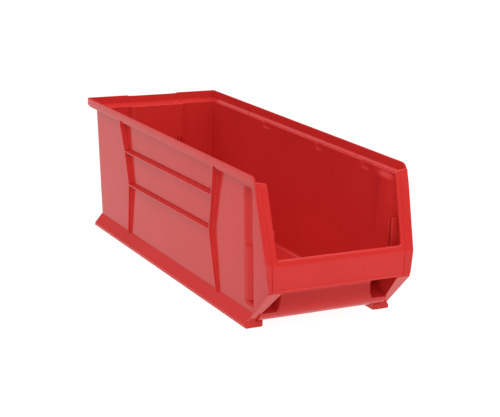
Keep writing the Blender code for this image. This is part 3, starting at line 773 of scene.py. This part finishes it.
def frame_stations():
    """(outer point, inner point, bead width, roll radius, inset) from the post's top to the middle."""
    found = []
    for drop, cut, inset in POST_CROWN:
        z = POST_TOP - drop
        outer_point = (frame_outer(z), z + POST_SHOULDER)
        found.append((outer_point, (post_inner(z) + cut, z), POST_BEAD, POST_ROLL, inset))
    for z in POST_HEIGHTS:
        found.append(((frame_outer(z), z), (post_inner(z), z), POST_BEAD, POST_ROLL, 0.0))
    centre = (frame_outer(LIP_BOTTOM) - OUTER_CORNER, LIP_BOTTOM + OUTER_CORNER)
    outer = [(frame_outer(z), z) for z in CORNER_HEIGHTS] + arc(centre, OUTER_CORNER, 0, -90, 3)
    centre = (post_inner(LIP_TOP) - INNER_CORNER, LIP_TOP + INNER_CORNER)
    inner = arc(centre, INNER_CORNER, 0, -90, len(outer) - 1)
    for k, (outer_point, inner_point) in enumerate(zip(outer, inner)):
        share = k / (len(outer) - 1)
        bead = between(POST_BEAD, LIP_BEAD, share)
        found.append((outer_point, inner_point, bead, between(POST_ROLL, LIP_ROLL, share), 0.0))
    for share in steps(1.0, 0.0, 10)[1:]:
        outer_point = (outer[-1][0] * share, LIP_BOTTOM)
        found.append((outer_point, (inner[-1][0] * share, LIP_TOP), LIP_BEAD, LIP_ROLL, 0.0))
    return found


def frame_section(outer, inner, bead, roll, inset):
    """Closed section across the strip between the outer and inner outline."""
    start = Vector(outer)
    across = Vector(inner) - start
    length = across.length
    across.normalize()
    step = between(POST_STEP, LIP_STEP, blend(POST_BEAD, LIP_BEAD, bead))
    thick = WALL + step
    front = [(0.0, thick), (0.0, 0.0014), (0.0002, 0.0008), (0.0005, 0.0003), (0.0009, 0.0002)]
    front += [(bead - 0.0016, step * 0.80), (bead - 0.0008, step * 0.94), (bead, step)]
    front += [(bead + 0.0008, step)]
    flat_end = length - roll
    for share in FACE_SHARES:
        front.append((between(bead + 0.0008, flat_end, share), step))
    for rise, out in quarter(6)[1:]:
        front.append((flat_end + roll * rise, step + roll * out))
    end = max(thick, step + roll + FRAME_BACK)
    rear = [(length, end), (length - 0.0006, end)]
    rear += [(between(0.0, flat_end, share), thick) for share in REAR_SHARES]
    points = []
    for along, back in front + rear:
        spot = start + across * (along + (inset if along < bead else 0.0))
        points.append((spot.x, face_y(spot.y) + back + (inset if back < thick else 0.0), spot.y))
    return points


def make_front_frame():
    sections = [frame_section(*station) for station in frame_stations()]
    mirrored = [[(-x, y, z) for x, y, z in section] for section in reversed(sections[:-1])]
    nodes = ["front_lip", "left_front_post", "right_front_post"]
    show("front_frame", loft_mesh("front_frame", sections + mirrored, FRAME_CREASE), nodes)


# ---------------------------------------------------------------- chin, pockets and mouth floor
CHIN_RADIUS = 0.0280
CHIN_HEEL = 0.0040
CHIN_ROOF = 0.0603
CHIN_BROW = 0.0050
BROW_LIFT = 0.0006
BROW_REACH = 0.0020
CHIN_THICK = 0.0028
SHELF_BEHIND = 0.0030
SHELF_TOP = 0.0785
POCKET_TURN = 70
POCKET_BACK = -0.2945
POCKET_BOW = 0.0012
POCKET_BROW = 0.0040
POCKET_SIDE_SLOPE = (0.0835, 0.0900)
CHIN_SIDE_GAP = 0.0016
CHIN_PRESS = 0.0080
CHIN_PRESS_Y = (-0.3170, -0.3130)
CHIN_PRESS_Z = (0.0260, 0.0320)


def chin_paths():
    """Two paths of (y, z) with equal counts: over the chin, and through a corner pocket."""
    centre_y = CHIN_FACE + CHIN_RADIUS
    centre_z = BOTTOM + CHIN_RADIUS
    chin = [(centre_y + CHIN_HEEL, BOTTOM)]
    pocket = [(centre_y + CHIN_HEEL, BOTTOM)]
    chin += arc((centre_y, centre_z), CHIN_RADIUS, 270, 180, 10)
    pocket += arc((centre_y, centre_z), CHIN_RADIUS, 270, 270 - POCKET_TURN, 10)
    foot_y, foot_z = pocket[-1]
    for share in (0.25, 0.5, 0.75, 1.0):
        chin.append((CHIN_FACE, between(centre_z, CHIN_ROOF - CHIN_BROW, share)))
        lean = between(foot_y, POCKET_BACK, share) - POCKET_BOW * math.sin(math.pi * share)
        pocket.append((lean, between(foot_z, CHIN_ROOF - POCKET_BROW, share)))
    brow_y = CHIN_FACE - BROW_REACH
    brow_z = CHIN_ROOF + BROW_LIFT
    for share in (0.2, 0.4, 0.6, 0.8, 1.0):
        turn = math.radians(90 * share)
        out = CHIN_FACE - BROW_REACH * (1 - math.cos(turn))
        chin.append((out, between(CHIN_ROOF - CHIN_BROW, brow_z, share)))
        roof = CHIN_ROOF - POCKET_BROW + POCKET_BROW * math.sin(turn)
        pocket.append((between(POCKET_BACK, brow_y, blend(0, 1, share)), roof))
    for share in (0.1, 0.4, 0.7, 1.0):
        y = between(brow_y, face_y(LIP_BOTTOM) + SHELF_BEHIND, share)
        z = between(brow_z, SHELF_TOP, share)
        chin.append((y, z))
        pocket.append((y, z))
    return chin, pocket


def make_chin():
    chin, pocket = chin_paths()
    xs = [0.0, 0.030, 0.060, 0.078, 0.0815]
    xs += steps(0.0830, 0.0900, 10) + [0.0930, 0.1000, 0.1060, 0.1105, 0.1140, 0.1180]
    rows = []
    for (chin_y, chin_z), (pocket_y, pocket_z) in zip(chin, pocket):
        row = []
        for x in xs:
            share = blend(*POCKET_SIDE_SLOPE, x)
            y = between(chin_y, pocket_y, share)
            z = between(chin_z, pocket_z, share)
            pressed = CHIN_PRESS * blend(*CHIN_PRESS_Y, y) * blend(*CHIN_PRESS_Z, z)
            row.append((min(x, side_x(z) - CHIN_SIDE_GAP - pressed), y, z))
        rows.append([(-x, y, z) for x, y, z in reversed(row[1:])] + row)
    nodes = ["chin_panel", "mouth_shelf"]
    for side in ("left_", "right_"):
        nodes += [side + node for node in ("pocket_back", "pocket_side", "pocket_roof")]
    show("chin", sheet_mesh("chin", rows, (0, -1, -0.2), CHIN_THICK), nodes)


# Gusset strip: outline as (x, length up the strip from the front foot)
STRIP_LENGTH = 0.0905
STRIP_START = -0.0040
STRIP_THICK = 0.0030
STRIP_OUTLINE = (
    (0.1180, STRIP_START),
    (0.1312, STRIP_START),
    (0.1314, 0.0100),
    (0.1304, STRIP_LENGTH),
    (0.1060, STRIP_LENGTH),
    (0.1150, 0.0300),
)
EDGE_SOFT = 0.0009


def make_gusset_strips():
    """Flange at 45 degrees from the lip down to the front foot."""
    slope = math.sqrt(0.5)

    def place(u, v, w):
        return (u, STRIP_FOOT_Y - v * slope + w * slope, STRIP_FOOT_Z + v * slope + w * slope)

    strip = prism_mesh("right_gusset_strip", STRIP_OUTLINE, 0.0, STRIP_THICK, place)
    both_sides("gusset_strip", strip, ["gusset_strip"], EDGE_SOFT)


# ---------------------------------------------------------------- base
SKIRT_EDGE = 0.0055
SKIRT_LIFT = 0.0010
SKIRT_GROWN = 0.0006
SKIRT_BURIED = 0.0012
SKIRT_ROOT = 0.0042
SKIRT_BEND = 0.0011
SKIRT_SETBACK = 0.0002
RUNNER_LIFT = 0.0010
RUNNER_AHEAD = 0.0020
RUNNER_SOFT = 0.0006
FOOT_SHOULDER = 0.0070
FOOT_INNER_ROUND = 0.0024
FOOT_OUTER_ROUND = 0.0026
FOOT_SLOPE_HALF = 0.1200

# Slope from the front foot up to the corner pocket, as (y, z), and the points buried behind it
FOOT_SLOPE = (
    (FOOT_LOW.y - 0.0002, 0.0012),
    (FOOT_LOW.y - 0.0002, 0.0075),
    (-0.3148, 0.0092),
    (-0.3143, 0.0112),
    (-0.3134, 0.0137),
    (-0.3118, 0.0170),
    (-0.3096, 0.0206),
    (-0.3068, 0.0244),
    (-0.3045, 0.0270),
    (-0.2960, 0.0240),
    (-0.2960, 0.0060),
    (-0.3120, 0.0012),
)


def along_y(u, v, w):
    return (u, w, v)


def along_x(u, v, w):
    return (w, u, v)


def make_base():
    inside = SKIRT_HIGH.x - WALL
    outer = SKIRT_HIGH.x
    top = SKIRT_HIGH.z
    root = side_x(top)
    section = [
        (inside, 0.0),
        (outer, 0.0),
        (outer, SKIRT_EDGE),
        (root + SKIRT_GROWN, top + SKIRT_LIFT),
        (root - SKIRT_BURIED, top + SKIRT_LIFT),
        (root - SKIRT_BURIED, top - SKIRT_ROOT),
        (inside, SKIRT_EDGE - SKIRT_BEND),
    ]
    front = FOOT_LOW.y + SKIRT_SETBACK
    skirt = prism_mesh("right_base_skirt", section, front, SKIRT_HIGH.y, along_y)
    both_sides("base_skirt", skirt, ["base_skirt"], EDGE_SOFT)
    runner = [
        (RUNNER_LOW.x, 0.0),
        (RUNNER_HIGH.x, 0.0),
        (RUNNER_HIGH.x, BOTTOM + RUNNER_LIFT),
        (RUNNER_LOW.x, BOTTOM + RUNNER_LIFT),
    ]
    front = RUNNER_LOW.y - RUNNER_AHEAD
    runner_mesh = prism_mesh("right_base_runner", runner, front, RUNNER_HIGH.y, along_y)
    both_sides("base_runner", runner_mesh, ["base_runner"], RUNNER_SOFT)
    foot = [
        (FOOT_LOW.x, FOOT_SHOULDER),
        (FOOT_LOW.x, FOOT_INNER_ROUND),
        (FOOT_LOW.x + FOOT_INNER_ROUND, 0.0),
        (outer - FOOT_OUTER_ROUND, 0.0),
        (outer, FOOT_OUTER_ROUND),
        (outer, SKIRT_EDGE),
        (0.1300, BOTTOM + 0.0040),
        (0.1185, BOTTOM + 0.0050),
        (0.1150, FOOT_SHOULDER),
    ]
    foot_mesh = prism_mesh("right_front_foot", foot, FOOT_LOW.y, FOOT_HIGH.y, along_y)
    both_sides("front_foot", foot_mesh, ["front_foot"], EDGE_SOFT)
    inner = FOOT_LOW.x + 0.0001
    slope = prism_mesh("right_foot_slope", FOOT_SLOPE, inner, FOOT_SLOPE_HALF, along_x)
    both_sides("foot_slope", slope, [], EDGE_SOFT)


# ---------------------------------------------------------------- ribs on the side walls
RIB_CENTRE = 0.0100
RIB_HALF = 0.0014
RIB_BURIED = 0.0012
RIB_FILLET = 0.0010
RIB_ROUND = 0.0007
RIB_HEIGHTS = (0.0215, 0.0400, 0.0700, 0.1000, 0.1200, 0.1222, 0.1238)
RIB_HEIGHTS += (0.1260, 0.1500, 0.1700, 0.1853, 0.2000, 0.2200, 0.2325)
LEDGE_RIBS = (("upper_ledge_rib", 0.1853), ("lower_ledge_rib", 0.1230))
LEDGE_TILT = 0.0045
RIM_SKIN = 0.0003

# By height: distance of the upright ribs from the rib centre, and how far out the ribs reach
RIB_PATH = ((0.0215, 0.1915), (0.1230, 0.1740), (0.1853, 0.1872), (0.2325, 0.1996), (0.2420, 0.1996))
RIB_REACH = ((0.0222, 0.1241), (0.1230, 0.1310), (0.1853, 0.1346), (0.2325, 0.1391), (0.2420, 0.1393))


def rib_y(z):
    return table(RIB_PATH, z)


def rib_reach(z):
    return table(RIB_REACH, z)


def rib_loop(root, tip, y, z):
    """Section of a rib: filleted where it grows from the wall, rounded at its tip."""
    wide = RIB_HALF + RIB_FILLET
    half = [(root, wide), (root + RIB_BURIED, wide), (root + 0.0016, RIB_HALF + 0.0004)]
    half += [(root + 0.0024, RIB_HALF), (tip - RIB_ROUND, RIB_HALF)]
    half += [(tip - 0.0002, RIB_HALF - 0.0002), (tip, RIB_HALF - RIB_ROUND)]
    loop = half + [(x, -across) for x, across in reversed(half)]
    return [(x, y + across, z) for x, across in loop]


def under_rim(x):
    """Height of the sloping underside of the rim, just inside its surface."""
    share = (x - side_x(UNDER_WALL)) / (HALF_WIDTH - side_x(UNDER_WALL))
    return between(UNDER_WALL, UNDER_SIDE, share) + RIM_SKIN


def make_ribs():
    for name, sign in (("rear_rib", 1), ("front_rib", -1)):
        sections = []
        for z in RIB_HEIGHTS:
            y = RIB_CENTRE + sign * rib_y(z)
            sections.append(rib_loop(side_x(z) - RIB_BURIED, rib_reach(z), y, z))
        y = RIB_CENTRE + sign * rib_y(UNDER_SIDE)
        root = side_x(UNDER_WALL) - RIB_BURIED
        top = rib_loop(root, rib_reach(UNDER_SIDE), y, UNDER_SIDE)
        sections.append([(x, across, under_rim(x)) for x, across, _ in top])
        both_sides(name, loft_mesh("right_" + name, sections), [name])
    for name, middle in LEDGE_RIBS:
        sections = []
        for share in steps(-1.0, 1.0, 12):
            z = middle - share * LEDGE_TILT / 2
            y = RIB_CENTRE + share * rib_y(z)
            loop = rib_loop(side_x(z) - RIB_BURIED, rib_reach(z), 0.0, 0.0)
            sections.append([(x, y, z + across) for x, across, _ in loop])
        both_sides(name, loft_mesh("right_" + name, sections), [name])


# ---------------------------------------------------------------- hooks and rails
HOOK_CHAMFER = 0.0040
HOOK_SOFT = 0.0008
RAIL_ROUND = 0.0006
RAIL_BURIED = 0.0010
BACK_RAIL_REACH = 0.0060
BACK_RAIL_TAPER = 0.0030
BACK_RAIL_HEIGHTS = (0.0600, 0.1100, 0.1600)
WINDOW_RAIL_TAPER = 0.0008
WINDOW_RAIL_HEIGHTS = (0.1000, 0.1300)


def make_hooks():
    low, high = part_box("right_hang_hook")
    top = LEDGE_BOTTOM + 0.001
    outline = [
        (low.x, top),
        (low.x, low.z + HOOK_CHAMFER),
        (low.x + HOOK_CHAMFER, low.z),
        (high.x - HOOK_CHAMFER, low.z),
        (high.x, low.z + HOOK_CHAMFER),
        (high.x, top),
    ]
    hook = prism_mesh("right_hang_hook", outline, low.y, high.y, along_y)
    both_sides("hang_hook", hook, ["hang_hook"], HOOK_SOFT)


def rail_loop(low, high, root, tip, z):
    """Section of a rail between low and high across, from root to a rounded tip."""
    turn = RAIL_ROUND if tip > root else -RAIL_ROUND
    loop = [(low, root), (low, tip - turn), (low + RAIL_ROUND, tip), (high - RAIL_ROUND, tip)]
    loop += [(high, tip - turn), (high, root)]
    return [(across, along, z) for across, along in loop]


def make_rails():
    for name in ("inner_back_rail", "outer_back_rail"):
        low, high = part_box("right_" + name)
        heights = [FLOOR_HIGH.z - 0.001, *BACK_RAIL_HEIGHTS]
        heights += [high.z - 0.0030, high.z - 0.0008, high.z]
        sections = []
        for z in heights:
            wall = back_y(z) - RECESS_DEPTH - WALL
            reach = BACK_RAIL_REACH - BACK_RAIL_TAPER * blend(high.z - 0.0040, high.z, z)
            sections.append(rail_loop(low.x, high.x, wall + RAIL_BURIED, wall - reach, z))
        both_sides(name, loft_mesh("right_" + name, sections), [name])
    for name in ("rear_window_rail", "front_window_rail"):
        low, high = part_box("right_" + name)
        heights = [low.z, *WINDOW_RAIL_HEIGHTS]
        heights += [high.z - 0.0060, high.z - 0.0010, high.z - 0.0003, high.z]
        sections = []
        for z in heights:
            wall = side_x(z) - WALL + RAIL_BURIED
            tip = low.x + WINDOW_RAIL_TAPER * blend(high.z - 0.0012, high.z, z)
            loop = rail_loop(low.y, high.y, wall, tip, z)
            sections.append([(y, x, height) for x, y, height in loop])
        both_sides(name, loft_mesh("right_" + name, sections), [name])


# ---------------------------------------------------------------- stage, light and camera
STAGE_SIZE = 14.0
STAGE_LEVEL = -0.0003
STAGE_GREY = 0.12
STAGE_GLOW = 0.95
SKY_COLOUR = (0.97, 0.98, 1.0, 1.0)
SKY_RISE = (0.05, 0.85)
SKY_STRENGTH = (0.10, 1.36)
LIGHT_TARGET = (0, 0, 0.12)
CAMERA_PLACE = (-1.08923, -2.13197, 0.74304)
CAMERA_AZIMUTH = -27.743
CAMERA_ELEVATION = 14.847
CAMERA_ROLL = 1.662
CAMERA_LENS = 98.315


def make_stage():
    """Pale floor that stays white, under a sky that is bright overhead and dark at the sides."""
    bpy.ops.mesh.primitive_plane_add(size=STAGE_SIZE, location=(0, 0, STAGE_LEVEL))
    floor = bpy.context.object
    floor.name = "studio_floor"
    material = bpy.data.materials.new("studio_white")
    material.use_nodes = True
    shader = material.node_tree.nodes["Principled BSDF"]
    shader.inputs["Base Color"].default_value = (STAGE_GREY, STAGE_GREY, STAGE_GREY, 1.0)
    shader.inputs["Roughness"].default_value = 0.9
    shader.inputs["Specular IOR Level"].default_value = 0.0
    shader.inputs["Emission Color"].default_value = (1.0, 1.0, 1.0, 1.0)
    shader.inputs["Emission Strength"].default_value = STAGE_GLOW
    floor.data.materials.append(material)
    world = bpy.data.worlds.new("studio")
    world.use_nodes = True
    nodes = world.node_tree.nodes
    link = world.node_tree.links.new
    axis = nodes.new("ShaderNodeSeparateXYZ")
    link(nodes.new("ShaderNodeTexCoord").outputs["Generated"], axis.inputs["Vector"])
    rise = nodes.new("ShaderNodeMapRange")
    rise.interpolation_type = "SMOOTHSTEP"
    rise.inputs["From Min"].default_value = SKY_RISE[0]
    rise.inputs["From Max"].default_value = SKY_RISE[1]
    rise.inputs["To Min"].default_value = SKY_STRENGTH[0]
    rise.inputs["To Max"].default_value = SKY_STRENGTH[1]
    link(axis.outputs["Z"], rise.inputs["Value"])
    backdrop = nodes["Background"]
    backdrop.inputs["Color"].default_value = SKY_COLOUR
    link(rise.outputs["Result"], backdrop.inputs["Strength"])
    bpy.context.scene.world = world
    bpy.context.scene.view_settings.view_transform = "Standard"


def softbox(name, place, size, power, tint):
    """Rectangular area light aimed at the middle of the bin."""
    light = bpy.data.lights.new(name, "AREA")
    light.shape = "RECTANGLE"
    light.size = size[0]
    light.size_y = size[1]
    light.energy = power
    light.color = tint
    lamp = bpy.data.objects.new(name, light)
    bpy.context.scene.collection.objects.link(lamp)
    lamp.location = place
    lamp.rotation_mode = "QUATERNION"
    lamp.rotation_quaternion = (Vector(LIGHT_TARGET) - Vector(place)).to_track_quat("-Z", "Y")


def make_lights():
    softbox("key_softbox", (-1.25, -2.2, 2.3), size=(1.2, 1.2), power=27.0, tint=(1.0, 0.92, 0.72))
    softbox("right_softbox", (2.2, -1.9, 1.5), size=(1.0, 1.4), power=5.0, tint=(1.0, 1.0, 1.0))


def make_camera():
    """Seen from the front left and above, through a long lens, with the slight roll of a hand."""
    azimuth = math.radians(CAMERA_AZIMUTH)
    elevation = math.radians(CAMERA_ELEVATION)
    roll = math.radians(CAMERA_ROLL)
    level = math.cos(elevation)
    back = Vector((math.sin(azimuth) * level, -math.cos(azimuth) * level, math.sin(elevation)))
    right = (-back).cross(Vector((0, 0, 1))).normalized()
    up = right.cross(-back)
    turned_right = right * math.cos(roll) + up * math.sin(roll)
    turned_up = up * math.cos(roll) - right * math.sin(roll)
    data = bpy.data.cameras.new("camera")
    data.lens = CAMERA_LENS
    data.sensor_width = 36.0
    data.clip_start = 0.05
    camera = bpy.data.objects.new("camera", data)
    bpy.context.scene.collection.objects.link(camera)
    turn = Matrix((turned_right, turned_up, back)).transposed().to_4x4()
    turn.translation = Vector(CAMERA_PLACE)
    camera.matrix_world = turn
    bpy.context.scene.camera = camera


make_tub()
make_rim()
make_front_frame()
make_chin()
make_gusset_strips()
make_base()
make_ribs()
make_hooks()
make_rails()
make_stage()
make_lights()
make_camera()
